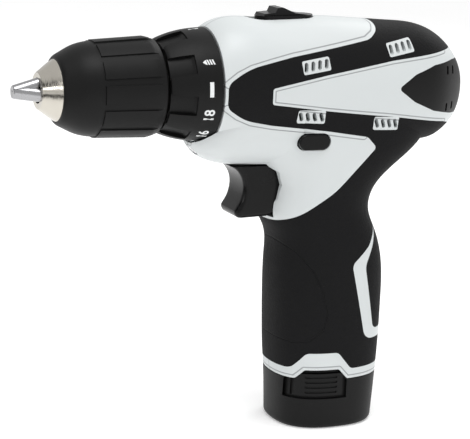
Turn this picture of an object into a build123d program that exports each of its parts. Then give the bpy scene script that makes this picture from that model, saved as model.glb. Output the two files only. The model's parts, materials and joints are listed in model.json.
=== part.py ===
from build123d import *
import os
from math import acos, cos, pi, radians, sin, tan

os.makedirs("parts", exist_ok=True)

# ---------------------------------------------------------------------------
# Frame: the origin is the middle of the battery's flat foot, +Z is up, the
# chuck points along -X and the tool's left side faces -Y.
# ---------------------------------------------------------------------------

# Driving dimensions, mm
AXIS_Z = 148.2          # height of the spindle axis above the foot
BARREL_FRONT = -55.8    # front face of the housing
SHELL = 2.5             # housing wall, rubber included
SKIN = 1.2              # rubber overmould thickness
FIT = 0.08              # radial clearance of a running fit
GAP = 0.35              # clearance between loose neighbours

CELL_RADIUS = 9.0       # lithium cell
CELL_LENGTH = 65.0
CELL_RING = 10.45       # cell centres' distance from the middle of the stick
STICK_WALL = 0.8
STICK_SHIFT = 0.6        # the stick sits this far behind the frame's middle

JAW_RADIUS = 2.9
JAW_ANGLE = 15.0        # degrees between a jaw and the chuck axis
JAW_TIP_X = -138.0
JAW_REAR_X = -100.0
JAW_AT_NOSE = 2.4       # a jaw's axis from the chuck axis, at the nose face
NOSE_X = -127.6

GEAR_MODULE = 0.7
PRESSURE_ANGLE = radians(20)
ADDENDUM = 0.8 * GEAR_MODULE
DEDENDUM = 1.05 * GEAR_MODULE
TOOTH_THINNING = 0.07
RING_TEETH = 48
FIRST_SUN, FIRST_PLANET = 12, 18
LATER_SUN, LATER_PLANET = 18, 15
PLANETS = 3

BARREL_PLANE = Plane(origin=(0, 0, AXIS_Z), x_dir=(1, 0, 0), z_dir=(0, -1, 0))
BARREL_AXIS = Axis((0, 0, AXIS_Z), (1, 0, 0))
SIDE = Plane.XZ         # local x is X, local y is Z, its normal is -Y


def across(x):
    """The plane square to the spindle at x: local x is Y and local y is Z - AXIS_Z."""
    return Plane(origin=(x, 0, AXIS_Z), x_dir=(0, 1, 0), z_dir=(1, 0, 0))


def finish(builder, name):
    """Label a finished piece and write its STEP file."""
    builder.part.label = name
    export_step(builder.part, f"parts/{name}.step")


def turned(*corners):
    """A solid turned about the spindle axis from (x, radius) corners."""
    with BuildPart() as shape:
        with BuildSketch(BARREL_PLANE):
            with BuildLine():
                Polyline(*corners, close=True)
            make_face()
        revolve(axis=BARREL_AXIS)
    return shape.part


def side_prism(corners, y_from, y_to, rounding=0):
    """A prism across the tool: a side view outline between two values of Y."""
    with BuildPart() as shape:
        with BuildSketch(SIDE.offset(-y_to)) as outline:
            with BuildLine():
                Polyline(*corners, close=True)
            make_face()
            if rounding:
                fillet(outline.vertices(), rounding)
        extrude(amount=y_to - y_from)
    return shape.part


# ---------------------------------------------------------------------------
# The outer form of the tool, as three lofts that can all be inset
# ---------------------------------------------------------------------------

# x, top, bottom, half width, squareness
BARREL_STATIONS = [
    (BARREL_FRONT, 172.1, 124.3, 23.9, 2.0),
    (-51.0, 174.7, 122.6, 24.6, 2.1),
    (-34.0, 175.4, 121.4, 25.2, 2.25),
    (-10.0, 175.3, 121.2, 25.3, 2.3),
    (12.0, 173.8, 121.2, 25.1, 2.3),
    (30.0, 172.2, 120.9, 24.6, 2.3),
    (40.0, 170.9, 120.8, 23.2, 2.3),
    (46.5, 168.4, 121.6, 20.4, 2.3),
    (52.0, 164.6, 124.2, 16.4, 2.3),
    (56.5, 160.2, 127.6, 12.2, 2.3),
    (60.0, 155.4, 132.4, 8.2, 2.3),
    (62.0, 151.0, 137.6, 5.0, 2.2),
]

# z, front x, rear x, half width, squareness
HANDLE_STATIONS = [
    (18.0, -22.9, 23.8, 22.0, 2.5),
    (24.0, -23.1, 24.2, 22.1, 2.5),
    (34.0, -23.9, 24.9, 22.3, 2.5),
    (52.0, -24.4, 25.6, 22.3, 2.5),
    (72.0, -24.2, 25.0, 22.1, 2.5),
    (84.0, -24.8, 21.6, 21.8, 2.5),
    (93.0, -28.8, 18.6, 21.5, 2.4),
    (104.0, -27.6, 21.6, 21.8, 2.4),
    (114.0, -32.0, 33.2, 22.5, 2.4),
    (123.0, -40.0, 43.5, 23.2, 2.4),
    (134.0, -44.0, 47.0, 24.1, 2.4),
    (146.0, -42.0, 45.0, 24.9, 2.4),
]
FOOT_STATIONS = [
    (0.0, -22.3, 22.3, 21.3, 2.5),
    (10.0, -22.5, 23.1, 21.7, 2.5),
    (22.0, -23.0, 24.05, 22.08, 2.5),
    (34.0, -23.9, 24.9, 22.3, 2.5),
]

# x, top, bottom, half width, squareness
CHIN_STATIONS = [
    (-62.6, 128.6, 122.6, 6.0, 2.0),
    (-60.4, 136.2, 119.8, 11.0, 2.0),
    (-55.5, 145.3, 116.7, 17.0, 2.0),
    (-46.0, 153.6, 114.4, 21.6, 2.0),
    (-34.0, 156.5, 113.5, 22.9, 2.1),
    (-20.0, 157.5, 112.5, 23.0, 2.1),
]

OUTLINE_POINTS = 20     # points in a section of the outer form


def rounded_section(half_x, half_y, squareness):
    """A rounded outline between an ellipse (squareness 2) and a rectangle."""
    points = []
    for step in range(OUTLINE_POINTS):
        angle = 2 * pi * (step + 0.5) / OUTLINE_POINTS
        reach = abs(cos(angle)) ** squareness + abs(sin(angle)) ** squareness
        radius = reach ** (-1 / squareness)
        points.append((half_x * radius * cos(angle), half_y * radius * sin(angle)))
    with BuildSketch() as section:
        with BuildLine():
            Spline(*points, periodic=True)
        make_face()
    return section.sketch


def lengthwise_loft(stations, inset):
    sections = []
    for x, top, bottom, half_width, squareness in stations:
        outline = rounded_section(half_width - inset, (top - bottom) / 2 - inset, squareness)
        middle = Plane(origin=(x, 0, (top + bottom) / 2), x_dir=(0, 1, 0), z_dir=(1, 0, 0))
        sections.append(middle * outline)
    with BuildPart() as form:
        loft(sections)
    return form.part


def upright_loft(stations, inset):
    sections = []
    for z, front, rear, half_width, squareness in stations:
        outline = rounded_section((rear - front) / 2 - inset, half_width - inset, squareness)
        sections.append(Pos((front + rear) / 2, 0, z) * outline)
    with BuildPart() as form:
        loft(sections)
    return form.part


def drill_form(inset):
    """Barrel, handle and chin as one body, its surface set in by inset."""
    end_x, *end_section = BARREL_STATIONS[-1]
    barrel = BARREL_STATIONS[:-1] + [(end_x - 0.6 * inset, *end_section)]
    with BuildPart() as form:
        add(lengthwise_loft(barrel, inset))
        add(upright_loft(HANDLE_STATIONS, inset))
        add(lengthwise_loft(CHIN_STATIONS, inset))
    return form.part



def half_space(side):
    """Everything on one side of the parting plane: side is -1 for left, 1 for right."""
    return Pos(0, side * 100, 100) * Box(400, 200, 400)


LEFT = half_space(-1)
outer_half = drill_form(0) & LEFT
skin_half = drill_form(SKIN) & LEFT
cavity_half = drill_form(SHELL) & LEFT
foot_form = upright_loft(FOOT_STATIONS, 0)
foot_floor_form = upright_loft(FOOT_STATIONS, SHELL)

# ---------------------------------------------------------------------------
# Side view outlines of the two-tone housing, (x, z)
# ---------------------------------------------------------------------------

BAND_LOW = [(-60, 22.2), (-18.2, 22.4), (-15, 26.4), (-0.4, 26.4), (3.6, 22.0), (60, 22.2)]
BAND_TOP = [(-60, 26.4), (-20, 26.8, 3), (-14.6, 33.8, 3), (-1, 33.8, 3), (5.2, 26.2, 3), (60, 26.6)]
BAND_ROUNDING = 1.4

# Outlines are corners (x, z), or (x, z, radius) where a corner has a rounding of its own

RUBBER_OUTLINE = [
    (-54.7, 151.3, 5), (-46.1, 157.3, 28), (-25.9, 161.4), (-9.6, 163.9), (10.6, 167.0, 10),
    (16.0, 170.4, 7),
    (20.0, 180.0), (70.0, 180.0), (70.0, 26.6), *reversed(BAND_TOP[1:-1]), (-60.0, 26.4),
    (-60.0, 89.4), (-29.7, 89.6, 18), (-19.6, 93.6, 38), (-3.9, 103.9, 38), (13.6, 121.9, 1.6),
    (8.9, 126.7, 3.5),
    (-8.0, 129.7), (-34.5, 133.4), (-46.7, 135.9, 22), (-54.7, 141.4, 5),
]
PANEL_OUTLINE = [
    (-35.5, 149.0), (-10.3, 153.7), (19.5, 158.3), (46.8, 160.8), (70.0, 161.8),
    (70.0, 125.4), (57.0, 127.8), (48.2, 130.4), (19.5, 134.8), (-9.7, 138.5), (-35.5, 142.4),
]
REAR_CAP_OUTLINE = [
    (21.8, 146.6), (30.0, 152.2), (40.0, 155.6), (52.0, 156.6), (70.0, 155.6),
    (70.0, 131.6), (52.0, 133.6), (40.0, 136.2), (30.0, 140.6),
]
STRIPE_OUTLINE = [
    (18.4, 86.6), (13.0, 78.8, 6), (4.6, 71.6, 3.5), (11.9, 38.4, 5),
    (30.0, 37.6), (30.0, 41.8), (16.6, 42.2, 3), (11.2, 70.4, 7), (15.6, 79.2, 6),
]

# Vent windows: middle x, middle z, slope of the row, lean of the slots (degrees)
VENTS = [
    (-16.0, 157.6, 8.0, 14.0),
    (24.0, 163.4, 9.0, 8.0),
    (-17.4, 136.4, -3.0, -22.0),
    (17.4, 132.0, -4.0, -22.0),
]
VENT_LENGTH, VENT_HEIGHT = 12.4, 5.6
VENT_SLOTS, VENT_SLOT_WIDTH = 4, 1.7

TRIGGER_BAY = [
    (-70.0, 114.4), (-31.0, 114.4), (-26.4, 111.6), (-24.7, 106.0),
    (-26.2, 99.6), (-29.6, 94.8), (-34.6, 92.2), (-70.0, 90.6),
]
TRIGGER_WIDTH = 18.4

SCREW_PLACES = [(-43.5, 122.0), (25.5, 121.6), (45.0, 131.0), (-17.6, 85.6), (12.2, 86.6)]
SCREW_HEAD_Y = 9.0
SCREW_TIP_Y = -12.0


def vent_slots(x, z, slope, lean):
    pitch = VENT_LENGTH / VENT_SLOTS
    starts = [(place + 0.5) * pitch - VENT_LENGTH / 2 for place in range(VENT_SLOTS)]
    with BuildSketch(SIDE.offset(-40)) as slots:
        with Locations(Location((x, z), slope)):
            with Locations([Location((start, 0), -lean) for start in starts]):
                SlotOverall(VENT_HEIGHT - 1.6, VENT_SLOT_WIDTH, rotation=90)
    return extrude(slots.sketch, 80)


def outline_face(corners, rounding=0):
    """A flat face in the side view plane; rounding is for corners with none of their own."""
    with BuildSketch(SIDE) as face:
        with BuildLine():
            Polyline(*[corner[:2] for corner in corners], close=True)
        make_face()
        for x, z, *radius in corners:
            if radius or rounding:
                fillet(face.vertices().sort_by_distance((x, z, 0))[0], radius[0] if radius else rounding)
    return face.sketch


def vent_window(x, z, slope, lean):
    with BuildSketch(SIDE) as window:
        with Locations(Location((x, z), slope)):
            Rectangle(VENT_LENGTH, VENT_HEIGHT)
        fillet(window.vertices(), 0.8)
    return window.sketch


with BuildSketch(SIDE) as rubber_view:
    add(outline_face(RUBBER_OUTLINE))
    add(outline_face(PANEL_OUTLINE, 1.2), mode=Mode.SUBTRACT)
    add(outline_face(STRIPE_OUTLINE), mode=Mode.SUBTRACT)
    for vent in VENTS:
        add(vent_window(*vent), mode=Mode.SUBTRACT)
rubber_prism = extrude(rubber_view.sketch, 40)
rear_cap_prism = extrude(outline_face(REAR_CAP_OUTLINE, 1.4), 40)

below_band = side_prism([*BAND_LOW, (60, -20), (-60, -20)], -40, 40, BAND_ROUNDING)
bay_prism = side_prism(TRIGGER_BAY, -40, 40, 1.2)
bay_wall_prism = side_prism([(x + SHELL, z) for x, z in TRIGGER_BAY], -40, 40)

# ---------------------------------------------------------------------------
# Housing halves and their rubber
# ---------------------------------------------------------------------------

SELECTOR_FRONT, SELECTOR_REAR, SELECTOR_HALF = -38.4, -7.6, 6.4
SELECTOR_TRAVEL = 5.0
LEVER_X, LEVER_Z = -15.2, 125.6
LEVER_LENGTH, LEVER_HEIGHT, LEVER_TRAVEL = 13.8, 6.6, 2.5
GEAR_CASE_RADIUS = 21.3
LAMP_PLANE = Plane(origin=(-60.3, 0, 121.3), x_dir=(0, 1, 0), z_dir=(-0.72, 0, -0.70))
LAMP_DEPTH = 2.4
MOTOR_RADIUS = 18.0
RING_REAR_RADIUS = 23.5
RING_FRONT_X, RING_REAR_X = -77.2, -56.5

chin_block = Pos(-59, 0, 122) * Box(30, 60, 24)
with BuildPart() as cavity:
    add(cavity_half)
    add(bay_wall_prism, mode=Mode.SUBTRACT)
    # the chin stays solid in front of the gear case
    add(chin_block, mode=Mode.SUBTRACT)

with BuildPart() as ribs:
    # saddles that hold the motor, and bosses for the screws
    for rib_x in (-4.0, 14.0, 32.0):
        with BuildSketch(across(rib_x)):
            Rectangle(60, 48)
            Circle(MOTOR_RADIUS, mode=Mode.SUBTRACT)
        extrude(amount=2.0)
    with BuildSketch(SIDE):
        with Locations(*SCREW_PLACES):
            Circle(3.2)
    extrude(amount=30)
    add(LEFT, mode=Mode.INTERSECT)

with BuildPart() as hollow:
    add(cavity.part)
    add(ribs.part, mode=Mode.SUBTRACT)
    # gear case seat in the front
    add(turned((-70, 0), (-70, GEAR_CASE_RADIUS), (-12, GEAR_CASE_RADIUS), (-12, 0)))

with BuildPart() as openings:
    add(below_band)
    add(bay_prism)
    # the underside of the chin clears the torque ring
    add(turned((-90, 0), (-90, 24.0), (BARREL_FRONT, 24.0), (BARREL_FRONT, 0)))
    # trigger slot, lever slot, selector window
    with BuildSketch(Plane.XY.offset(91.8)):
        with Locations((-25, 0)):
            Rectangle(26, TRIGGER_WIDTH + 2 * GAP)
    extrude(amount=22.9)
    with BuildSketch(SIDE.offset(12)):
        with Locations((LEVER_X, LEVER_Z)):
            SlotOverall(LEVER_LENGTH + 2 * GAP, LEVER_HEIGHT + 2 * GAP)
    extrude(amount=28)
    with BuildSketch(Plane.XY.offset(165)):
        with Locations(((SELECTOR_FRONT + SELECTOR_REAR) / 2, 0)):
            SlotOverall(SELECTOR_REAR - SELECTOR_FRONT, 2 * SELECTOR_HALF)
    extrude(amount=20)
    for vent in VENTS:
        add(vent_slots(*vent))
    # seat of the lamp
    with BuildSketch(LAMP_PLANE.offset(-LAMP_DEPTH)):
        RectangleRounded(8.5, 5.1, 2.4)
    extrude(amount=8)

with BuildPart() as skin:
    add(outer_half)
    add(skin_half, mode=Mode.SUBTRACT)

with BuildPart() as rubber:
    add(skin.part)
    add(rubber_prism, mode=Mode.INTERSECT)
    add(rear_cap_prism, mode=Mode.SUBTRACT)

with BuildPart() as left_shell:
    add(outer_half)
    add(hollow.part, mode=Mode.SUBTRACT)
    add(openings.part, mode=Mode.SUBTRACT)

CAP_SLOTS = [(48.0, 152.6, 6.0), (48.0, 136.8, -6.0)]
with BuildPart() as left_cap:
    add(left_shell.part)
    add(rear_cap_prism, mode=Mode.INTERSECT)
    for x, z, lean in CAP_SLOTS:
        with BuildSketch(SIDE):
            with Locations((x, z), (x + 4.2, z - lean / 20)):
                SlotOverall(3.6, 1.2, rotation=90 - lean)
        extrude(amount=40, mode=Mode.SUBTRACT)

with BuildPart() as left_wall:
    add(left_shell.part)
    add(rubber.part, mode=Mode.SUBTRACT)
    add(rear_cap_prism, mode=Mode.SUBTRACT)

with BuildPart() as screw_holes:
    with BuildSketch(SIDE.offset(-40)):
        with Locations(*SCREW_PLACES):
            Circle(3.1)
    extrude(amount=40 - SCREW_HEAD_Y)
    with BuildSketch(SIDE.offset(-SCREW_HEAD_Y)):
        with Locations(*SCREW_PLACES):
            Circle(1.5)
    extrude(amount=SCREW_HEAD_Y - SCREW_TIP_Y)

with BuildPart() as housing_left:
    add(left_wall.part)
    add(screw_holes.part, mode=Mode.SUBTRACT)
finish(housing_left, "housing_left")

with BuildPart() as housing_right:
    add(left_wall.part.mirror(Plane.XZ))
    add(screw_holes.part, mode=Mode.SUBTRACT)
finish(housing_right, "housing_right")

with BuildPart() as overmold_left:
    add(rubber.part)
finish(overmold_left, "overmold_left")

with BuildPart() as overmold_right:
    add(rubber.part.mirror(Plane.XZ))
    add(screw_holes.part, mode=Mode.SUBTRACT)
finish(overmold_right, "overmold_right")

with BuildPart() as rear_cap:
    add(left_cap.part)
    add(left_cap.part.mirror(Plane.XZ))
finish(rear_cap, "rear_cap")

# ---------------------------------------------------------------------------
# Chuck
# ---------------------------------------------------------------------------

CHUCK_REAR_X = -78.6
SLEEVE_FRONT_X, SLEEVE_REAR_X = -120.5, -78.2
JAW_SLOPE = tan(radians(JAW_ANGLE))
NUT_FRONT_X, NUT_REAR_X = -104.0, -98.0
NUT_RADIUS = 17.6
BODY_RADIUS = 12.6
THREAD_RADIUS = 4.8
SHANK_BORE = 5.1


def jaw_axis_radius(x):
    return JAW_AT_NOSE + (x - NOSE_X) * JAW_SLOPE


def jaw_plane(x):
    """The plane square to the first jaw's axis, at the axis point above x."""
    point = (x, 0, AXIS_Z + jaw_axis_radius(x))
    return Plane(origin=point, x_dir=(0, 1, 0), z_dir=(cos(radians(JAW_ANGLE)), 0, sin(radians(JAW_ANGLE))))


with BuildPart() as jaw_bore:
    with BuildSketch(jaw_plane(-145.0)):
        Circle(JAW_RADIUS + FIT)
    extrude(amount=70)

with BuildPart() as chuck_body:
    with BuildSketch(BARREL_PLANE):
        with BuildLine():
            Polyline(
                (NOSE_X, SHANK_BORE), (NOSE_X, 7.4), (NOSE_X + 0.5, 7.9), (-122.8, 11.1), (-120.6, BODY_RADIUS),
                (NUT_FRONT_X - 0.5, BODY_RADIUS), (NUT_FRONT_X - 0.5, 11.4), (NUT_REAR_X + 0.5, 11.4),
                (NUT_REAR_X + 0.5, BODY_RADIUS), (-81.2, BODY_RADIUS), (-81.2, 16.5), (CHUCK_REAR_X, 16.5),
                (CHUCK_REAR_X, THREAD_RADIUS), (-99.6, THREAD_RADIUS), (-99.6, SHANK_BORE), close=True,
            )
        make_face()
    revolve(axis=BARREL_AXIS)
    for turn in range(3):
        add(jaw_bore.part.rotate(BARREL_AXIS, 120 * turn), mode=Mode.SUBTRACT)
finish(chuck_body, "chuck_body")

with BuildPart() as first_jaw:
    with BuildSketch(jaw_plane(JAW_REAR_X)):
        Circle(JAW_RADIUS)
    extrude(amount=-46)
    # the gripping edge: a third of the circle about the chuck axis
    with BuildSketch(across(-160)):
        with BuildLine():
            Polyline((0, 0.12), (12.0, 0.12 + 12 * tan(radians(30))), (12.0, 30), (-12.0, 30),
                     (-12.0, 0.12 + 12 * tan(radians(30))), close=True)
        make_face()
    extrude(amount=70, mode=Mode.INTERSECT)
    # a blunt, bevelled tip
    add(turned((JAW_TIP_X, 0), (JAW_TIP_X, 2.5), (JAW_TIP_X + 1.4, 3.2), (-120, 8.4), (-90, 30), (-90, 0)),
        mode=Mode.INTERSECT)
for number in range(3):
    with BuildPart() as jaw:
        add(first_jaw.part.rotate(BARREL_AXIS, 120 * number))
    finish(jaw, f"jaw_{number + 1}")

with BuildPart() as jaw_nut:
    front_bore = jaw_axis_radius(NUT_FRONT_X) + JAW_RADIUS / cos(radians(JAW_ANGLE)) + 0.12
    rear_bore = jaw_axis_radius(NUT_REAR_X) + JAW_RADIUS / cos(radians(JAW_ANGLE)) + 0.12
    add(turned((NUT_FRONT_X, front_bore), (NUT_FRONT_X, NUT_RADIUS), (NUT_REAR_X, NUT_RADIUS),
               (NUT_REAR_X, rear_bore)))
finish(jaw_nut, "jaw_nut")

SLEEVE_RIBS = 12
with BuildPart() as chuck_sleeve:
    with BuildSketch(BARREL_PLANE):
        with BuildLine():
            Line((SLEEVE_FRONT_X, BODY_RADIUS + FIT), (SLEEVE_FRONT_X, 13.1))
            Spline((SLEEVE_FRONT_X, 13.1), (-118.2, 15.1), (-113.5, 17.5), (-106.4, 19.3),
                   tangents=[(0.35, 1), (1, 0.12)])
            Polyline((-106.4, 19.3), (-81.4, 20.2), (-79.2, 19.6), (SLEEVE_REAR_X, 18.2),
                     (SLEEVE_REAR_X, 16.5 + FIT), (-80.4, 16.5 + FIT), (-80.4, 18.2), (-96.0, 18.2),
                     (-96.0, NUT_RADIUS), (-106.5, NUT_RADIUS), (-115.0, 14.6), (-117.4, BODY_RADIUS + FIT),
                     (SLEEVE_FRONT_X, BODY_RADIUS + FIT))
        make_face()
    revolve(axis=BARREL_AXIS)
    # raised grip panels with a step at their front end
    grip = turned((-105.0, 18.6), (-105.0, 19.9), (-83.0, 20.75), (-80.8, 20.2), (-80.8, 18.6))
    with BuildSketch(across(-110)):
        with PolarLocations(0, SLEEVE_RIBS):
            with Locations((0, 20)):
                Rectangle(7.6, 10)
    panels = extrude(amount=40, mode=Mode.PRIVATE)
    add(grip & panels)
finish(chuck_sleeve, "chuck_sleeve")

SPINDLE_RADIUS = 6.0
with BuildPart() as chuck_screw:
    add(turned((-102.0, 0), (-102.0, 3.6), (-99.8, 3.6), (-99.8, 2.2), (-88.0, 2.2), (-88.0, 0)))
    with BuildSketch(across(-102.0)):
        RegularPolygon(1.5, 6)
    extrude(amount=1.4, mode=Mode.SUBTRACT)
finish(chuck_screw, "chuck_screw")

# ---------------------------------------------------------------------------
# Torque ring and its clutch
# ---------------------------------------------------------------------------

GRIP_POCKETS = 8
POCKET_PHASE = 30.5      # degrees of the first pocket above the left side
NOSE_TUBE = 13.5
with BuildPart() as torque_ring:
    with BuildSketch(BARREL_PLANE):
        with BuildLine():
            Spline((RING_FRONT_X + 0.6, 19.6), (-71.0, 21.6), (-64.0, 23.0), (RING_REAR_X, RING_REAR_RADIUS),
                   tangents=[(1, 0.45), (1, 0.04)])
            Polyline((RING_REAR_X, RING_REAR_RADIUS), (RING_REAR_X, 20.6), (-74.6, 18.9), (-74.6, NOSE_TUBE + GAP),
                     (RING_FRONT_X, NOSE_TUBE + GAP), (RING_FRONT_X, 19.0), (RING_FRONT_X + 0.6, 19.6))
        make_face()
    revolve(axis=BARREL_AXIS)
    # finger pockets, open at the front edge
    pocket_floor = turned((-80, 18.2), (-80, 30), (-67.0, 30), (-67.0, 21.6), (-68.4, 20.6), (RING_FRONT_X, 18.2))
    with BuildSketch(across(-80)):
        with PolarLocations(0, GRIP_POCKETS, start_angle=180 - POCKET_PHASE - 90):
            with Locations((0, 22)):
                Rectangle(8.4, 10)
    pocket_cuts = extrude(amount=20, mode=Mode.PRIVATE)
    add(pocket_floor & pocket_cuts, mode=Mode.SUBTRACT)
finish(torque_ring, "torque_ring")

with BuildPart() as spring_nut:
    add(turned((-74.2, NOSE_TUBE + FIT), (-74.2, 18.7), (-71.2, 18.7), (-71.2, NOSE_TUBE + FIT)))
finish(spring_nut, "spring_nut")

SPRING_RADIUS, SPRING_WIRE = 16.4, 1.15
with BuildPart() as clutch_spring:
    with BuildLine() as coil:
        Helix(pitch=3.4, height=10.2, radius=SPRING_RADIUS, center=(-69.2, 0, AXIS_Z), direction=(1, 0, 0))
    with BuildSketch(Plane(origin=coil.line @ 0, z_dir=coil.line % 0)):
        Circle(SPRING_WIRE)
    sweep(is_frenet=True)
finish(clutch_spring, "clutch_spring")

with BuildPart() as clutch_washer:
    add(turned((-57.3, NOSE_TUBE + GAP), (-57.3, 19.0), (-55.8, 19.0), (-55.8, NOSE_TUBE + GAP)))
finish(clutch_washer, "clutch_washer")

CLUTCH_PINS = 6
with BuildPart() as clutch_pins:
    with BuildSketch(across(-55.8)):
        with PolarLocations(17.2, CLUTCH_PINS):
            Circle(1.5)
    extrude(amount=8.2)
finish(clutch_pins, "clutch_pins")

# ---------------------------------------------------------------------------
# Gear train: three planetary stages
# ---------------------------------------------------------------------------

RING_GEAR_RADIUS = 19.2
STAGE_1 = (-24.0, -18.4)
STAGE_2 = (-35.4, -29.8)
STAGE_3 = (-46.0, -40.4)


def tooth_half_angle(teeth, radius, thinning):
    pitch_radius = GEAR_MODULE * teeth / 2
    base_radius = pitch_radius * cos(PRESSURE_ANGLE)
    at_radius = acos(min(1, base_radius / radius))
    at_pitch = tan(PRESSURE_ANGLE) - PRESSURE_ANGLE
    return pi / (2 * teeth) + at_pitch - (tan(at_radius) - at_radius) - thinning / radius


def gear_outline(teeth, root, tip, thinning, phase):
    """An involute gear's outline; phase is the angle of a tooth's middle."""
    base_radius = GEAR_MODULE * teeth / 2 * cos(PRESSURE_ANGLE)
    low = max(root, base_radius)
    flank = [low, (low + tip) / 2, tip]
    radii = [root, *flank] if root < low - 0.02 else flank
    corners = []
    for tooth in range(teeth):
        middle = phase + 2 * pi * tooth / teeth
        halves = [tooth_half_angle(teeth, max(radius, low), thinning) for radius in radii]
        sides = list(zip(radii, halves))
        for radius, half in sides:
            corners.append((radius * cos(middle - half), radius * sin(middle - half)))
        for radius, half in reversed(sides):
            corners.append((radius * cos(middle + half), radius * sin(middle + half)))
    with BuildSketch() as outline:
        with BuildLine():
            Polyline(*corners, close=True)
        make_face()
    return outline.sketch


def external_gear(teeth, phase):
    pitch_radius = GEAR_MODULE * teeth / 2
    return gear_outline(teeth, pitch_radius - DEDENDUM, pitch_radius + ADDENDUM, TOOTH_THINNING, phase)


def ring_gear_space():
    """The hollow of a ring gear with a tooth at angle 0."""
    pitch_radius = GEAR_MODULE * RING_TEETH / 2
    return gear_outline(
        RING_TEETH, pitch_radius - ADDENDUM, pitch_radius + DEDENDUM, -TOOTH_THINNING, pi / RING_TEETH
    )


def planet_phase(planet_teeth, place):
    """Angle of a planet's tooth that meshes with the ring gear at angle place."""
    return place - (place * RING_TEETH / (2 * pi) + 0.5) * 2 * pi / planet_teeth


def sun_phase(sun_teeth, planet_teeth):
    return 0 if planet_teeth % 2 == 0 else pi / sun_teeth


def planet_centre(sun_teeth, planet_teeth, place):
    distance = GEAR_MODULE * (sun_teeth + planet_teeth) / 2
    return distance * cos(place), distance * sin(place)


PIN_RADIUS = 1.6
RING_SPACE = ring_gear_space()

stages = [
    ("first", STAGE_1, FIRST_SUN, FIRST_PLANET),
    ("second", STAGE_2, LATER_SUN, LATER_PLANET),
    ("third", STAGE_3, LATER_SUN, LATER_PLANET),
]
for stage_name, (front_x, rear_x), sun_teeth, planet_teeth in stages:
    for number in range(PLANETS):
        place = 2 * pi * number / PLANETS
        centre = planet_centre(sun_teeth, planet_teeth, place)
        outline = external_gear(planet_teeth, planet_phase(planet_teeth, place))
        with BuildPart() as planet:
            with BuildSketch(across(front_x)):
                with Locations(centre):
                    add(outline)
                    Circle(PIN_RADIUS + FIT, mode=Mode.SUBTRACT)
            extrude(amount=rear_x - front_x)
        finish(planet, f"{stage_name}_planet_{number + 1}")

ring_places = [("ring_gear_2", -33.4, -26.0), ("ring_gear_3", -47.4, -39.6)]
for ring_name, front_x, rear_x in ring_places:
    with BuildPart() as ring_gear:
        with BuildSketch(across(front_x)):
            Circle(RING_GEAR_RADIUS - FIT)
            add(RING_SPACE, mode=Mode.SUBTRACT)
        extrude(amount=rear_x - front_x)
        if ring_name == "ring_gear_2":
            # the groove that the shift fork's pins run in
            groove = turned((-31.2, 18.2), (-31.2, 20), (-28.2, 20), (-28.2, 18.2))
            add(groove, mode=Mode.SUBTRACT)
    finish(ring_gear, ring_name)

carrier_places = [
    # name, disc front, disc rear, stage, next sun's front, disc radius
    ("first_carrier", -27.2, -24.4, 0, -35.6, 15.4),
    ("second_carrier", -38.8, -35.9, 1, -46.6, 15.4),
]
for name, disc_front, disc_rear, stage, sun_front, disc_radius in carrier_places:
    _, (front_x, rear_x), sun_teeth, planet_teeth = stages[stage]
    next_planet = stages[stage + 1][3]
    next_sun = stages[stage + 1][2]
    with BuildPart() as carrier:
        with BuildSketch(across(disc_front)):
            Circle(disc_radius)
        extrude(amount=disc_rear - disc_front)
        with BuildSketch(across(sun_front)):
            add(external_gear(next_sun, sun_phase(next_sun, next_planet)))
        extrude(amount=disc_front - sun_front)
        with BuildSketch(across(disc_rear)):
            for number in range(PLANETS):
                with Locations(planet_centre(sun_teeth, planet_teeth, 2 * pi * number / PLANETS)):
                    Circle(PIN_RADIUS)
        extrude(amount=rear_x - disc_rear - 0.2)
    finish(carrier, name)

with BuildPart() as spindle:
    add(turned((-99.4, 2.3), (-99.4, 4.75), (CHUCK_REAR_X, 4.75), (CHUCK_REAR_X, 7.2), (-77.0, 7.2),
               (-77.0, SPINDLE_RADIUS), (-49.6, SPINDLE_RADIUS), (-49.6, 15.4), (-46.8, 15.4), (-46.8, 0),
               (-87.6, 0), (-87.6, 2.3)))
    with BuildSketch(across(-46.8)):
        for number in range(PLANETS):
            with Locations(planet_centre(LATER_SUN, LATER_PLANET, 2 * pi * number / PLANETS)):
                Circle(PIN_RADIUS)
    extrude(amount=6.2)
finish(spindle, "spindle")

BEARING_RADIUS = 10.4
with BuildPart() as spindle_bearings:
    for bearing_x in (-75.4, -58.2):
        add(turned((bearing_x, SPINDLE_RADIUS + FIT), (bearing_x, BEARING_RADIUS),
                   (bearing_x + 6.0, BEARING_RADIUS), (bearing_x + 6.0, SPINDLE_RADIUS + FIT)))
finish(spindle_bearings, "spindle_bearings")

with BuildPart() as gear_case:
    add(turned((-75.8, BEARING_RADIUS - 1.2), (-75.8, NOSE_TUBE), (-53.4, NOSE_TUBE), (-53.4, GEAR_CASE_RADIUS - 0.05),
               (-14.6, GEAR_CASE_RADIUS - 0.05), (-14.6, RING_GEAR_RADIUS), (-50.2, RING_GEAR_RADIUS),
               (-50.2, 8.0), (-52.0, 8.0), (-52.0, BEARING_RADIUS), (-75.4, BEARING_RADIUS),
               (-75.4, BEARING_RADIUS - 1.2)))
    with BuildSketch(across(-54)):
        with PolarLocations(17.2, CLUTCH_PINS):
            Circle(1.5 + FIT)
    extrude(amount=5, mode=Mode.SUBTRACT)
    # the fixed ring gear of the first stage
    with BuildSketch(across(-24.2)):
        Circle(RING_GEAR_RADIUS)
        add(RING_SPACE, mode=Mode.SUBTRACT)
    extrude(amount=6.2)
    # slots for the shift fork's pins
    for pin_angle in (-40, 40):
        slot_plane = Plane(origin=(-32.2, 0, AXIS_Z), x_dir=(1, 0, 0),
                           z_dir=(0, sin(radians(pin_angle)), cos(radians(pin_angle))))
        with BuildSketch(slot_plane.offset(15)):
            SlotOverall(10.0, 3.4)
        extrude(amount=10, mode=Mode.SUBTRACT)
finish(gear_case, "gear_case")

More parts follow.
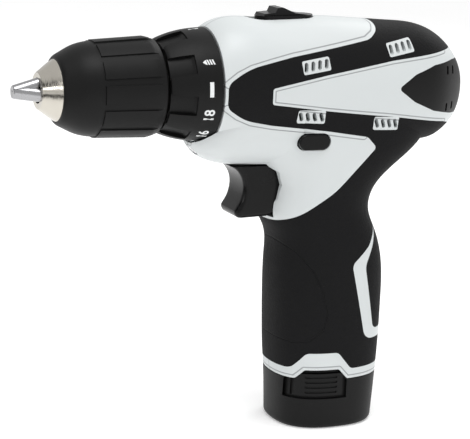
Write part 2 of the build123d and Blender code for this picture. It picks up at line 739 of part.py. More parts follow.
FORK_X = -29.7
with BuildPart() as shift_fork:
    with BuildSketch(across(FORK_X - 1.1)):
        with BuildLine():
            CenterArc((0, 0), 22.5, 45, 90)
            CenterArc((0, 0), 21.7, 45, 90)
            Line((22.5 * cos(pi / 4), 22.5 * sin(pi / 4)), (21.7 * cos(pi / 4), 21.7 * sin(pi / 4)))
            Line((-22.5 * cos(pi / 4), 22.5 * sin(pi / 4)), (-21.7 * cos(pi / 4), 21.7 * sin(pi / 4)))
        make_face()
    extrude(amount=2.2)
    for pin_angle in (-40, 40):
        pin_plane = Plane(origin=(FORK_X, 0, AXIS_Z), x_dir=(1, 0, 0),
                          z_dir=(0, sin(radians(pin_angle)), cos(radians(pin_angle))))
        with BuildSketch(pin_plane.offset(18.5)):
            Circle(1.1)
        extrude(amount=3.6)
finish(shift_fork, "shift_fork")

with BuildPart() as motor_bracket:
    add(turned((-17.8, 5.6), (-17.8, 7.2), (-14.6, 7.2), (-14.6, GEAR_CASE_RADIUS - 0.05),
               (-12.2, GEAR_CASE_RADIUS - 0.05), (-12.2, 5.6)))
finish(motor_bracket, "motor_bracket")

# ---------------------------------------------------------------------------
# Motor
# ---------------------------------------------------------------------------

MOTOR_FRONT_X, MOTOR_REAR_X = -12.2, 40.6
with BuildPart() as motor_can:
    add(turned((MOTOR_FRONT_X, 5.2), (MOTOR_FRONT_X, MOTOR_RADIUS - 0.05), (37.0, MOTOR_RADIUS - 0.05),
               (37.0, 16.7), (-10.8, 16.7), (-10.8, 5.2)))
finish(motor_can, "motor_can")

with BuildPart() as magnets:
    with BuildSketch(across(-7.0)):
        Circle(16.7)
        Circle(13.4, mode=Mode.SUBTRACT)
        Rectangle(15, 40, mode=Mode.SUBTRACT)
    extrude(amount=38)
finish(magnets, "magnets")

ARMATURE_SLOTS = 5
with BuildPart() as armature:
    with BuildSketch(across(-4.0)):
        Circle(12.8)
        with PolarLocations(10.6, ARMATURE_SLOTS):
            Rectangle(3.6, 1.8)
            Circle(1.9)
        Circle(2.5, mode=Mode.SUBTRACT)
    extrude(amount=30)
finish(armature, "armature")

with BuildPart() as windings:
    for winding_x, length in ((-8.2, 4.2), (26.0, 3.6)):
        add(turned((winding_x, 2.5), (winding_x, 10.2), (winding_x + 1.2, 11.4),
                   (winding_x + length - 1.2, 11.4), (winding_x + length, 10.2), (winding_x + length, 2.5)))
finish(windings, "windings")

with BuildPart() as commutator:
    with BuildSketch(across(30.0)):
        Circle(5.0)
        Circle(2.5, mode=Mode.SUBTRACT)
        with PolarLocations(5.0, 5):
            Rectangle(1.2, 0.4, mode=Mode.SUBTRACT)
    extrude(amount=7.0)
finish(commutator, "commutator")

with BuildPart() as motor_shaft:
    add(turned((-24.0, 0), (-24.0, 1.6), (-13.0, 1.6), (-13.0, 2.5), (42.6, 2.5), (42.6, 2.0), (51.0, 2.0),
               (51.0, 0)))
finish(motor_shaft, "motor_shaft")

with BuildPart() as motor_pinion:
    with BuildSketch(across(-24.1)):
        add(external_gear(FIRST_SUN, sun_phase(FIRST_SUN, FIRST_PLANET)))
        Circle(1.6, mode=Mode.SUBTRACT)
    extrude(amount=9.0)
finish(motor_pinion, "motor_pinion")

with BuildPart() as brushes:
    with BuildSketch(Plane.XZ.offset(-10.5)):
        with Locations((33.5, AXIS_Z)):
            Rectangle(4.6, 3.8)
    extrude(amount=5.2)
    mirror(about=Plane.XZ)
finish(brushes, "brushes")

with BuildPart() as motor_end_bell:
    add(turned((37.2, 16.6), (37.2, MOTOR_RADIUS - 0.05), (MOTOR_REAR_X, MOTOR_RADIUS - 0.05), (MOTOR_REAR_X + 1.6, 7.0),
               (MOTOR_REAR_X + 1.6, 2.5 + FIT), (38.8, 2.5 + FIT), (38.8, 16.6)))
    for side in (-1, 1):
        with BuildSketch(Plane.XZ.offset(side * 8.0)):
            with Locations((35.4, AXIS_Z)):
                Rectangle(6.8, 6.2)
                with Locations((-1.9, 0)):
                    Rectangle(4.8, 4.0, mode=Mode.SUBTRACT)
        extrude(amount=side * 6.4)
finish(motor_end_bell, "motor_end_bell")

FAN_BLADES = 9
with BuildPart() as cooling_fan:
    add(turned((43.0, 2.05), (43.0, 5.0), (44.2, 5.0), (44.2, 12.6), (45.4, 12.6), (45.4, 5.0),
               (50.0, 5.0), (50.0, 2.05)))
    with BuildSketch(across(45.2)):
        with PolarLocations(8.6, FAN_BLADES):
            with Locations(Location((0, 0), 24)):
                Rectangle(7.6, 0.9)
    extrude(amount=4.0)
finish(cooling_fan, "cooling_fan")

# ---------------------------------------------------------------------------
# Trigger, switch, lever, selector and lamp
# ---------------------------------------------------------------------------

TRIGGER_TRAVEL = 6.0
PLUNGER_Z = 105.0
with BuildPart() as trigger:
    with BuildSketch(SIDE.offset(-TRIGGER_WIDTH / 2)):
        with BuildLine():
            Spline((-45.6, 114.0), (-41.4, 109.6), (-40.4, 104.6), (-42.0, 98.6), (-43.9, 95.6),
                   tangents=[(0.9, -0.5), (-0.6, -1)])
            Spline((-43.9, 95.6), (-43.4, 93.0), (-40.4, 92.0), tangents=[(-0.5, -0.9), (1, 0)])
            Polyline((-40.4, 92.0), (-30.4, 92.2), (-24.0, 96.8), (-21.0, 99.6), (-21.0, 114.0), (-45.6, 114.0))
        make_face()
    extrude(amount=TRIGGER_WIDTH)
    soft = trigger.edges().filter_by(Axis.Y, reverse=True).filter_by_position(Axis.X, -46.5, -39.9)
    fillet(soft.filter_by(lambda edge: edge.length > 3), 2.2)
    with BuildSketch(Plane.YZ.offset(-21.0)):
        with Locations((0, PLUNGER_Z)):
            Circle(2.4)
    extrude(amount=9.0)
finish(trigger, "trigger")

with BuildPart() as switch_body:
    with BuildSketch(Plane.XY.offset(94.6)):
        with Locations((-1.0, 0)):
            Rectangle(23.6, 19.0)
    extrude(amount=23.0)
    fillet(switch_body.edges().filter_by(Axis.Z), 1.0)
    with BuildSketch(Plane.YZ.offset(-12.8)):
        with Locations((0, PLUNGER_Z)):
            Circle(2.4 + FIT)
    extrude(amount=8.6, mode=Mode.SUBTRACT)
finish(switch_body, "switch_body")

with BuildPart() as trigger_spring:
    with BuildLine() as wire:
        Helix(pitch=1.7, height=6.8, radius=3.9, center=(-20.4, 0, PLUNGER_Z), direction=(1, 0, 0))
    with BuildSketch(Plane(origin=wire.line @ 0, z_dir=wire.line % 0)):
        Circle(0.35)
    sweep(is_frenet=True)
finish(trigger_spring, "trigger_spring")

LEVER_FACE_Y = 23.6
with BuildPart() as direction_lever:
    for side in (-1, 1):
        with BuildSketch(Plane.XZ.offset(side * 18.4)):
            with Locations((LEVER_X, LEVER_Z)):
                SlotOverall(LEVER_LENGTH, LEVER_HEIGHT)
        extrude(amount=side * (LEVER_FACE_Y - 18.4))
    caps = direction_lever.edges().filter_by(Plane.XZ).group_by(Axis.Y)
    fillet(caps[0] + caps[-1], 0.7)
    # the bar that joins the caps and shifts the switch
    with BuildSketch(SIDE.offset(-18.6)):
        with Locations((LEVER_X, 124.0)):
            Rectangle(7.2, 3.0)
    extrude(amount=37.2)
    with BuildSketch(Plane.XY.offset(118.2)):
        with Locations((LEVER_X + 5.0, 0)):
            Rectangle(2.2, 5.0)
    extrude(amount=4.4)
finish(direction_lever, "direction_lever")

with BuildPart() as speed_selector:
    # a sole under the wall keeps the window closed, and the thumb piece stands through it
    with BuildSketch(Plane.XY.offset(170.9)):
        with Locations((-22.5, 0)):
            Rectangle(35.0, 13.4)
    extrude(amount=0.6)
    with BuildSketch(Plane.XY.offset(171.5)):
        with Locations((-20.6, 0)):
            SlotOverall(25.4, 2 * SELECTOR_HALF - 0.8)
    extrude(amount=4.6)
    with BuildSketch(SIDE.offset(-4.6)):
        with BuildLine():
            Polyline((-31.6, 176.0), (-31.0, 177.0), (-26.2, 177.3), (-25.2, 179.3), (-22.6, 179.4),
                     (-17.2, 177.0), (-10.4, 176.0), close=True)
        make_face()
    extrude(amount=9.2)
    # the tab that pushes the shift fork
    with BuildSketch(Plane.XY.offset(169.8)):
        with Locations((FORK_X, 0)):
            Rectangle(5.4, 6.0)
            Rectangle(2.4, 6.0, mode=Mode.SUBTRACT)
    extrude(amount=1.2)
finish(speed_selector, "speed_selector")

with BuildPart() as lamp_lens:
    with BuildSketch(LAMP_PLANE.offset(-LAMP_DEPTH)):
        RectangleRounded(8.4, 5.0, 2.4)
    extrude(amount=3.0)
    fillet(lamp_lens.faces().sort_by(Axis.X)[0].edges(), 0.6)
finish(lamp_lens, "lamp_lens")

# ---------------------------------------------------------------------------
# Battery pack
# ---------------------------------------------------------------------------

CELL_PLACES = [
    (STICK_SHIFT + CELL_RING * cos(angle), CELL_RING * sin(angle)) for angle in (pi, pi / 3, -pi / 3)
]
CELL_FOOT = 6.6
STICK_TOP = 74.0


def stick_section(radius):
    with BuildSketch() as section:
        with Locations(*CELL_PLACES):
            Circle(radius)
        make_hull()
    return section.sketch


with BuildPart() as battery_cells:
    with BuildSketch(Plane.XY.offset(CELL_FOOT)):
        with Locations(*CELL_PLACES):
            Circle(CELL_RADIUS - 0.02)
    extrude(amount=CELL_LENGTH)
finish(battery_cells, "battery_cells")

with BuildPart() as battery_stick:
    with BuildSketch(Plane.XY.offset(5.0)):
        add(stick_section(CELL_RADIUS + STICK_WALL))
    extrude(amount=STICK_TOP - 5.0)
    fillet(battery_stick.faces().sort_by(Axis.Z)[-1].edges(), 0.8)
    with BuildSketch(Plane.XY.offset(6.2)):
        add(stick_section(CELL_RADIUS + 0.05))
    extrude(amount=66.6, mode=Mode.SUBTRACT)
    # window for the contacts
    with BuildSketch(Plane.XY.offset(70)):
        Rectangle(17.0, 9.0)
    extrude(amount=10, mode=Mode.SUBTRACT)
finish(battery_stick, "battery_stick")

CONTACT_PLACES = [(0, y) for y in (-3.0, 0.0, 3.0)]
with BuildPart() as battery_contacts:
    with BuildSketch(Plane.XY.offset(72.0)):
        Rectangle(16.6, 8.6)
    extrude(amount=3.4)
    with BuildSketch(Plane.XY.offset(72.6)):
        with Locations(*CONTACT_PLACES):
            Rectangle(13.0, 1.2)
    extrude(amount=4, mode=Mode.SUBTRACT)
finish(battery_contacts, "battery_contacts")

with BuildPart() as terminal_block:
    with BuildSketch(Plane.XY.offset(76.4)):
        Rectangle(20.0, 14.0)
    extrude(amount=5.0)
    with BuildSketch(Plane.XY.offset(73.2)):
        with Locations(*CONTACT_PLACES):
            Rectangle(11.0, 0.6)
    extrude(amount=3.4)
finish(terminal_block, "terminal_block")

BUTTON_LEFT_X, BUTTON_RIGHT_X = -18.2, 1.6
BUTTON_FOOT, BUTTON_TOP = 14.8, 24.6
RECESS = [(-21.2, 13.4), (3.6, 13.4), (3.6, 21.2), (-0.4, 26.0), (-15.0, 26.0), (-21.2, 22.0)]
foot_recess_form = upright_loft(FOOT_STATIONS, 1.5)
foot_cutter = side_prism([(x, z - 0.3) for x, z in BAND_LOW] + [(60, 60), (-60, 60)], -40, 40, BAND_ROUNDING)
recess_prism = side_prism(RECESS, -40, 40)
BUTTON_BOX = [
    (BUTTON_LEFT_X, BUTTON_FOOT), (BUTTON_RIGHT_X, BUTTON_FOOT),
    (BUTTON_RIGHT_X, BUTTON_TOP), (BUTTON_LEFT_X, BUTTON_TOP),
]
WELL_BOX = [
    (BUTTON_LEFT_X - GAP, BUTTON_FOOT - GAP), (BUTTON_RIGHT_X + GAP, BUTTON_FOOT - GAP),
    (BUTTON_RIGHT_X + GAP, BUTTON_TOP + GAP), (BUTTON_LEFT_X - GAP, BUTTON_TOP + GAP),
]
button_prism = side_prism(BUTTON_BOX, -40, 40)
hollow_box = side_prism([(-40, 3.0), (40, 3.0), (40, 19.4), (-40, 19.4)], -40, 40)

with BuildPart() as recess_shell:
    add(foot_form)
    add(foot_recess_form, mode=Mode.SUBTRACT)
    add(recess_prism, mode=Mode.INTERSECT)

with BuildPart() as foot_hollow:
    add(foot_floor_form)
    add(hollow_box, mode=Mode.INTERSECT)

with BuildPart() as battery_case:
    add(foot_form)
    fillet(battery_case.faces().sort_by(Axis.Z)[0].edges(), 2.4)
    add(foot_cutter, mode=Mode.SUBTRACT)
    add(recess_shell.part, mode=Mode.SUBTRACT)
    add(foot_hollow.part, mode=Mode.SUBTRACT)
    add(side_prism(WELL_BOX, -40, -10), mode=Mode.SUBTRACT)
    add(side_prism(WELL_BOX, 10, 40), mode=Mode.SUBTRACT)
    with BuildSketch(Plane.XY.offset(3.0)):
        add(stick_section(CELL_RADIUS + STICK_WALL))
    extrude(amount=40, mode=Mode.SUBTRACT)
finish(battery_case, "battery_case")

button_form = upright_loft(FOOT_STATIONS, 0.2)
button_back_form = upright_loft(FOOT_STATIONS, 1.8)
groove_depth_form = upright_loft(FOOT_STATIONS, 0.7)
BUTTON_RIBS = 4
with BuildPart() as groove_cuts:
    with BuildSketch(SIDE.offset(-40)):
        for rib in range(BUTTON_RIBS):
            with Locations(((BUTTON_LEFT_X + BUTTON_RIGHT_X) / 2 + 0.6, BUTTON_FOOT + 2.2 * (rib + 0.75))):
                SlotOverall(13.6, 1.0)
    extrude(amount=80)
    add(groove_depth_form, mode=Mode.SUBTRACT)
with BuildPart() as both_buttons:
    add(button_form)
    add(button_back_form, mode=Mode.SUBTRACT)
    add(button_prism, mode=Mode.INTERSECT)
    add(foot_cutter, mode=Mode.SUBTRACT)
    add(groove_cuts.part, mode=Mode.SUBTRACT)
for side_name, side_space in (("left", LEFT), ("right", half_space(1))):
    with BuildPart() as release_button:
        add(both_buttons.part)
        add(side_space, mode=Mode.INTERSECT)
    finish(release_button, f"release_button_{side_name}")

with BuildPart() as housing_screws:
    with BuildSketch(SIDE.offset(-SCREW_HEAD_Y - 2.0)):
        with Locations(*SCREW_PLACES):
            Circle(2.9)
    extrude(amount=2.0)
    with BuildSketch(SIDE.offset(-SCREW_HEAD_Y)):
        with Locations(*SCREW_PLACES):
            Circle(1.45)
    extrude(amount=SCREW_HEAD_Y - SCREW_TIP_Y - 0.4)
    with BuildSketch(SIDE.offset(-SCREW_HEAD_Y - 2.0)):
        with Locations(*SCREW_PLACES):
            Rectangle(3.4, 0.7)
            Rectangle(0.7, 3.4)
    extrude(amount=1.0, mode=Mode.SUBTRACT)
finish(housing_screws, "housing_screws")
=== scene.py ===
# %% [markdown]
# # Dressing a cordless drill driver
# The drill's shapes, sizes and joints come from its packed CAD model, which stays as it is.
# Blender's work is what the eye reads: smooth surfaces, printed dial marks, and a finish for
# every plastic, rubber and metal. This first step loads the model and notes its size.

import json
import math

import bmesh
import bpy
from mathutils import Matrix, Vector
from mathutils.bvhtree import BVHTree

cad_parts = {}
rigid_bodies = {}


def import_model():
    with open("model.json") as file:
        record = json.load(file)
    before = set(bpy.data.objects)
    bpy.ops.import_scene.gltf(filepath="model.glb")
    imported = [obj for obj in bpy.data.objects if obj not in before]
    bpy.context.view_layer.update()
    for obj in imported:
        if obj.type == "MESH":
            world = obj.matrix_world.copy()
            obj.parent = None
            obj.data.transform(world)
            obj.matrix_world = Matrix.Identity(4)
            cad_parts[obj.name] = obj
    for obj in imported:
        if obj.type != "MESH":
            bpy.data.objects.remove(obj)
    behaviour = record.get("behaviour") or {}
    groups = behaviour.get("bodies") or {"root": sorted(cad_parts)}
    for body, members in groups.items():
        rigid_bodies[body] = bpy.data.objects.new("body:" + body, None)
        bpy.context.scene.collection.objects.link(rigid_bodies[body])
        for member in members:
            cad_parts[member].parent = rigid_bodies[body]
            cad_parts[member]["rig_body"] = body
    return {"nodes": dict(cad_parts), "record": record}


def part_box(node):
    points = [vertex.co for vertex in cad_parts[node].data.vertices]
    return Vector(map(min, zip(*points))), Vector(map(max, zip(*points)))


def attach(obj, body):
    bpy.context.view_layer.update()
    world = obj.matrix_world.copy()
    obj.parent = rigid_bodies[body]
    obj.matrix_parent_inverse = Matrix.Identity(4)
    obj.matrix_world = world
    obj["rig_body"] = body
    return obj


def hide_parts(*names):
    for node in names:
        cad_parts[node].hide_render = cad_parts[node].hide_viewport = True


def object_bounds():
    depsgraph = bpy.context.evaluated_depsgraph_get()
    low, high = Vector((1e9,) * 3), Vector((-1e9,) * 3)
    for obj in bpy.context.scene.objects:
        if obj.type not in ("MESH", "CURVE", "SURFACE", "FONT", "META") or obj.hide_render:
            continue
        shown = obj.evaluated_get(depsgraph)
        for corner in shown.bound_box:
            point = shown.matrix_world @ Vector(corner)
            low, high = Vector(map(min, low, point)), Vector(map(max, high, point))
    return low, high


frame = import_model()
nodes = frame["nodes"]
record = frame["record"]
MM = 0.001
corners_at_load = [list(corner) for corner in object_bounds()]
print("nodes", len(nodes), "size mm", [round((b - a) / MM, 1) for a, b in zip(*corners_at_load)])

# %% [markdown]
# ## Places
# Everything that follows is placed from the frame: the chuck axis is the middle of the
# sleeve, and the dial band is the rear part of the torque ring.

# %% Places read from the frame
sleeve_low, sleeve_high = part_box("chuck_sleeve")
AXIS_Z = (sleeve_low.z + sleeve_high.z) / 2
dial_low, dial_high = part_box("torque_ring")
BAND_INSET = 5.0 * MM   # from the ring's rear edge to the middle of its printed band
DIAL_X = dial_high.x - BAND_INSET
low, high = (Vector(corner) for corner in corners_at_load)
MIDDLE = (low + high) / 2
print("chuck axis", round(AXIS_Z / MM, 2), "mm up; dial band at", round(DIAL_X / MM, 2))

# %% [markdown]
# ## Shader sums in Python
# A finish is mostly arithmetic on patterns: a grain times a strength, plus a base value.
# Wiring dozens of Math nodes by hand is slow to read, so a small class wraps a socket and
# gives it plus, minus and times. Writing 1 - mask then adds the Math node by itself.


# %% A socket that Python can do sums with
class Wire:
    """A value socket in a finish, with arithmetic."""

    def __init__(self, finish, socket):
        self.finish = finish
        self.socket = socket

    def math(self, operation, *others):
        values = {0: self.socket}
        values.update({place + 1: other for place, other in enumerate(others)})
        return self.finish.node("ShaderNodeMath", {"operation": operation}, values)

    def __add__(self, other):
        return self.math("ADD", other)

    def __sub__(self, other):
        return self.math("SUBTRACT", other)

    def __rsub__(self, other):
        return (self * -1.0) + other

    def __mul__(self, other):
        return self.math("MULTIPLY", other)

    __radd__ = __add__
    __rmul__ = __mul__

    def between(self, start, end):
        """0 at start, 1 at end, eased in between."""
        settings = {"interpolation_type": "SMOOTHSTEP"}
        values = {"Value": self.socket, "From Min": start, "From Max": end}
        return self.finish.node("ShaderNodeMapRange", settings, values)


# %% [markdown]
# ## A finish
# Each finish is one material: a Principled shader with plain constants, and a few
# patterns in Object coordinates. Those are metres on the real drill, so a grain of 0.4 mm
# is 0.4 mm on every part and never slides when a part moves.


# %% A finish and its patterns
class Finish:
    """A material with its Principled shader."""

    def __init__(self, name, **constants):
        self.material = bpy.data.materials.new(name)
        self.material.use_nodes = True
        self.tree = self.material.node_tree
        self.shader = self.tree.nodes["Principled BSDF"]
        for socket, value in constants.items():
            self.shader.inputs[socket.replace("_", " ")].default_value = value
        coordinates = self.tree.nodes.new("ShaderNodeTexCoord")
        self.place = coordinates.outputs["Object"]
        split = self.tree.nodes.new("ShaderNodeSeparateXYZ")
        self.tree.links.new(self.place, split.inputs[0])
        self.x, self.y, self.z = (Wire(self, split.outputs[axis]) for axis in range(3))

    def node(self, kind, settings, values, output=0):
        """Adds a node, sets its settings, then fills or links its sockets."""
        made = self.tree.nodes.new(kind)
        for key, value in settings.items():
            setattr(made, key, value)
        for key, value in values.items():
            socket = made.inputs[key]
            value = value.socket if isinstance(value, Wire) else value
            if isinstance(value, bpy.types.NodeSocket):
                self.tree.links.new(value, socket)
            else:
                socket.default_value = value
        return Wire(self, made.outputs[output])

    def vector(self, operation, values, output=0):
        """Adds a Vector Math node."""
        return self.node("ShaderNodeVectorMath", {"operation": operation}, values, output)

    def grain(self, size, detail=2.0, stretch=None):
        """Cloudy noise from about 0 to 1 with features of this size in metres."""
        place = self.place
        if stretch:
            mapping = self.node("ShaderNodeMapping", {}, {"Vector": place, "Scale": stretch})
            place = mapping.socket
        values = {"Vector": place, "Scale": 1 / size, "Detail": detail}
        return self.node("ShaderNodeTexNoise", {}, values)

    def pebbles(self, size):
        """Rounded cells with valleys between them, as on moulded grain."""
        settings = {"feature": "SMOOTH_F1"}
        values = {"Vector": self.place, "Scale": 1 / size, "Smoothness": 0.6}
        return self.node("ShaderNodeTexVoronoi", settings, values)

    def radius(self):
        """Distance from the chuck axis."""
        up = self.z - AXIS_Z
        return (self.y * self.y + up * up).math("SQRT")

    def line_beside(self, corners, offset, width):
        """1 along a line in the side view that runs at an offset from corners given in mm."""
        flat = self.vector("MULTIPLY", {0: self.place, 1: (1, 0, 1)})
        nearest = None
        for (x0, z0), (x1, z1) in zip(corners, corners[1:]):
            run = Vector(((x1 - x0) * MM, 0, (z1 - z0) * MM))
            start = (x0 * MM, 0, z0 * MM)
            away = self.vector("SUBTRACT", {0: flat, 1: start})
            share = self.vector("DOT_PRODUCT", {0: away, 1: run / run.length_squared}, 1)
            share = self.node("ShaderNodeClamp", {}, {"Value": share})
            along = self.vector("SCALE", {0: run, "Scale": share})
            gap = self.vector("DISTANCE", {0: away, 1: along}, 1)
            nearest = gap if nearest is None else nearest.math("MINIMUM", gap)
        return 1 - (nearest - offset).math("ABSOLUTE").between(width * 0.3, width * 0.8)

    def mix(self, mask, first, second):
        """A colour that goes from first to second as mask goes from 0 to 1."""
        ends = [side if isinstance(side, Wire) else (*side, 1.0) for side in (first, second)]
        values = {0: mask, 6: ends[0], 7: ends[1]}
        return self.node("ShaderNodeMix", {"data_type": "RGBA"}, values, 2)

    def feed(self, **wires):
        """Links patterns to the shader's sockets, named with underscores for spaces."""
        for socket, wire in wires.items():
            self.tree.links.new(wire.socket, self.shader.inputs[socket.replace("_", " ")])
        return self

    def relief(self, height, depth):
        """Bumps the surface: height from 0 to 1 stands for depth in metres."""
        bump = self.node("ShaderNodeBump", {}, {"Height": height, "Distance": depth, "Strength": 1.0})
        return self.feed(Normal=bump)


print("shader patterns", [name for name in vars(Finish) if not name.startswith("_")])

# %% [markdown]
# ## The white shell
# The housing is glass-filled nylon from a spark-eroded mould: satin, with a texture of a
# few hundredths of a millimetre. Its two halves meet on the middle plane, which shows as
# a hairline. The moulded grooves beside the white areas are painted dark grey as painted
# shade, in one mask with that hairline. A slight warm and cool drift keeps the large face
# from looking painted.

# %% White moulded shell
finishes = {}


def parting_line(finish, half_width=0.12 * MM):
    """1 on the hairline where the left and right mouldings meet."""
    return 1 - finish.y.math("ABSOLUTE").between(half_width, 2.2 * half_width)


# corners of the white areas in the side view, in millimetres
WEDGE_TOP = [
    (-54.7, 151.3), (-50.0, 154.8), (-44.5, 157.3), (-36.0, 159.3), (-25.9, 161.4), (-9.6, 163.9),
    (9.0, 166.7), (13.6, 168.8), (16.4, 171.5), (19.0, 178.0),
]
WEDGE_LOW = [
    (-54.7, 141.4), (-50.0, 138.0), (-44.0, 135.3), (-34.5, 133.4), (-8.0, 129.7), (7.0, 127.2),
]
SIDE_PANEL = [
    (46.8, 160.8), (19.5, 158.3), (-10.3, 153.7), (-35.5, 149.0), (-35.5, 142.4), (-9.7, 138.5),
    (19.5, 134.8), (48.2, 130.4),
]
WAVY_BAND = [(-40.0, 22.2), (-18.2, 22.4), (-15.0, 26.4), (-0.4, 26.4), (3.6, 22.0), (30.0, 22.2)]

GROOVE_WIDTH = 0.42 * MM
GROOVES = [(WEDGE_TOP, 1.5 * MM), (WEDGE_LOW, 1.5 * MM), (SIDE_PANEL, 1.2 * MM), (WAVY_BAND, 1.3 * MM)]

shell = Finish("white_shell_satin", Roughness=0.42, IOR=1.5)
# one mask: the hairline where the halves meet, plus painted shade along the grooves beside the white
# areas
seam_and_groove_shade = parting_line(shell)
for corners, offset in GROOVES:
    seam_and_groove_shade = seam_and_groove_shade.math("MAXIMUM", shell.line_beside(corners, offset, GROOVE_WIDTH))
tone = shell.mix(shell.grain(34 * MM, 1.0), (0.60, 0.635, 0.64), (0.635, 0.66, 0.66))
# the dark grey in the grooves is painted shade; on the hairline it is the dark joint of the two halves
shade = shell.mix(seam_and_groove_shade * 0.75, tone, (0.20, 0.21, 0.22))
fine = shell.grain(0.45 * MM, 3.0)
shell.feed(Base_Color=shade, Roughness=0.36 + 0.12 * fine)
shell.relief(fine * 0.5 + shell.grain(2.2 * MM, 1.0) * 0.3 - seam_and_groove_shade * 6.0, 0.018 * MM)
finishes["white_shell"] = shell.material
print("white shell: grooves", len(GROOVES), "shader nodes", len(shell.tree.nodes))

# %% [markdown]
# ## The rubber overmould
# Soft thermoplastic rubber is moulded over the shell. It is nearly black, matt, and has a
# pebbled grain about half a millimetre across that catches a grey sheen. Rounded cells from
# a Voronoi pattern make the pebbles, and a finer noise roughens their tops.

# %% Black rubber with a pebbled grain
rubber = Finish("rubber_pebbled", Roughness=0.7, IOR=1.48, Specular_IOR_Level=0.15)
pebble = rubber.pebbles(0.7 * MM)
tops = 1 - pebble * 1.3
GRIP_ZONE = [
    (-31.0, 85.8), (-26.7, 83.5), (-19.0, 77.6), (-13.0, 70.2), (-8.6, 60.5), (-6.4, 50.5),
    (-8.4, 43.6), (-13.6, 39.4), (-19.6, 38.4), (-31.0, 40.9),
]
grip_line = rubber.line_beside(GRIP_ZONE, 0.0, 0.5 * MM)
worn = rubber.grain(22 * MM, 3.0)
rubber.feed(
    Base_Color=rubber.mix(worn, (0.0040, 0.0040, 0.0044), (0.0070, 0.0070, 0.0075)),
    Roughness=0.60 + 0.14 * worn + 0.08 * pebble,
)
rubber.relief(tops + rubber.grain(0.2 * MM, 2.0) * 0.3 - grip_line * 5.0, 0.09 * MM)
finishes["black_rubber"] = rubber.material
print("rubber: pebbles 0.7 mm, shader nodes", len(rubber.tree.nodes))

# %% [markdown]
# ## Black mouldings
# The chuck sleeve, torque ring and battery case are harder plastic with a fine erosion
# texture. The trigger, lever and selector are the same resin from a polished mould, so
# they get a smoother finish of their own.

# %% Black plastics


def black_plastic(name, tone, roughness, texture, depth):
    """A black resin whose mould texture has this feature size and depth."""
    made = Finish(name, Roughness=roughness, IOR=1.5, Specular_IOR_Level=0.17)
    cloud = made.grain(16 * MM, 2.0)
    made.feed(
        Base_Color=made.mix(cloud, (tone * 0.85,) * 3, (tone * 1.2,) * 3),
        Roughness=roughness - 0.05 + 0.12 * cloud,
    )
    made.relief(made.grain(texture, 3.0), depth)
    return made


finishes["black_plastic"] = black_plastic("black_textured", 0.0055, 0.46, 0.4 * MM, 0.03 * MM).material
polished = black_plastic("black_polished", 0.0045, 0.24, 1.6 * MM, 0.004 * MM).material
finishes["nylon"] = black_plastic("nylon_glass_filled", 0.03, 0.62, 0.3 * MM, 0.02 * MM).material
blacks = [name for name in bpy.data.materials.keys() if name.startswith(("black", "nylon"))]
print("black plastics", blacks)

# %% [markdown]
# ## Turned nickel
# The nose of the chuck is turned on a lathe and nickel plated. The tool leaves fine rings
# round the axis, so the pattern is a noise that only changes along the axis. Metal shows
# its surroundings, and the rings break the reflections into the bands of real turned work.

# %% Nickel, ground steel and other metals


def metal(name, colour, roughness):
    """A bare metal whose colour and polish drift a little."""
    made = Finish(name, Metallic=1.0, Roughness=roughness)
    cloud = made.grain(7 * MM, 3.0)
    made.feed(
        Base_Color=made.mix(cloud, [0.88 * share for share in colour], colour),
        Roughness=roughness - 0.04 + 0.1 * cloud,
    )
    return made


nickel = metal("nickel_turned", (0.58, 0.55, 0.49), 0.17)
turning = nickel.node(
    "ShaderNodeTexNoise",
    {"noise_dimensions": "1D"},
    {"W": nickel.x + 0.35 * nickel.radius(), "Scale": 1 / (0.55 * MM), "Detail": 3.0},
)
nickel.relief(turning, 0.07 * MM)
finishes["nickel"] = nickel.material

ground = metal("steel_ground", (0.40, 0.40, 0.41), 0.26)
ground.relief(ground.grain(0.5 * MM, 2.0, stretch=(0.15, 1.0, 1.0)), 0.012 * MM)
finishes["tool_steel"] = ground.material

sintered = metal("steel_sintered", (0.36, 0.355, 0.34), 0.4)
sintered.relief(sintered.grain(0.25 * MM, 3.0), 0.02 * MM)
finishes["gear_steel"] = sintered.material

zinc = metal("steel_zinc_plated", (0.62, 0.63, 0.62), 0.3)
zinc.relief(zinc.pebbles(2.5 * MM), 0.008 * MM)
finishes["motor_steel"] = zinc.material

copper = metal("copper_enamelled", (0.80, 0.33, 0.14), 0.28)
copper.relief(copper.grain(0.35 * MM, 1.0, stretch=(0.2, 1.0, 1.0)), 0.06 * MM)
finishes["copper"] = copper.material

brass = metal("brass_stamped", (0.82, 0.62, 0.27), 0.26)
brass.relief(brass.grain(0.3 * MM, 2.0), 0.01 * MM)
finishes["contact_brass"] = brass.material
print("metals", [kind.material.name for kind in (nickel, ground, sintered, zinc, copper, brass)])

# %% [markdown]
# ## Small materials inside
# The ferrite magnets are dull and pitted, the cells wear a thin shrink sleeve, and the
# lamp's lens is clear resin that is nearly smooth.

# %% Ferrite, shrink sleeve and lens
ferrite = black_plastic("ferrite_pressed", 0.035, 0.7, 0.5 * MM, 0.03 * MM)
finishes["magnet"] = ferrite.material

wrap = Finish("cell_shrink_sleeve", Roughness=0.3)
crease = wrap.grain(3 * MM, 2.0, stretch=(1.0, 1.0, 0.2))
wrap.feed(
    Base_Color=wrap.mix(crease, (0.02, 0.20, 0.19), (0.03, 0.26, 0.24)),
    Roughness=0.24 + 0.16 * crease,
)
wrap.relief(crease, 0.03 * MM)
finishes["cell_wrap"] = wrap.material

lens = Finish("lens_clear", Roughness=0.08, IOR=1.49, Transmission_Weight=0.85)
haze = lens.grain(1.2 * MM, 2.0)
lens.feed(
    Base_Color=lens.mix(haze, (0.86, 0.89, 0.92), (0.95, 0.96, 0.98)),
    Roughness=0.05 + 0.08 * haze,
)
lens.relief(haze, 0.01 * MM)
finishes["lens"] = lens.material
print("finishes", sorted(finishes))

# %% [markdown]
# ## Smooth skins over the CAD nodes
# A packed CAD node is loose triangles, so each one would shade as a flat facet. A copy of
# it is welded and marked smooth, with every edge sharper than a crease left sharp. The copy
# keeps each vertex where the CAD put it, so it fits, moves and measures the same.

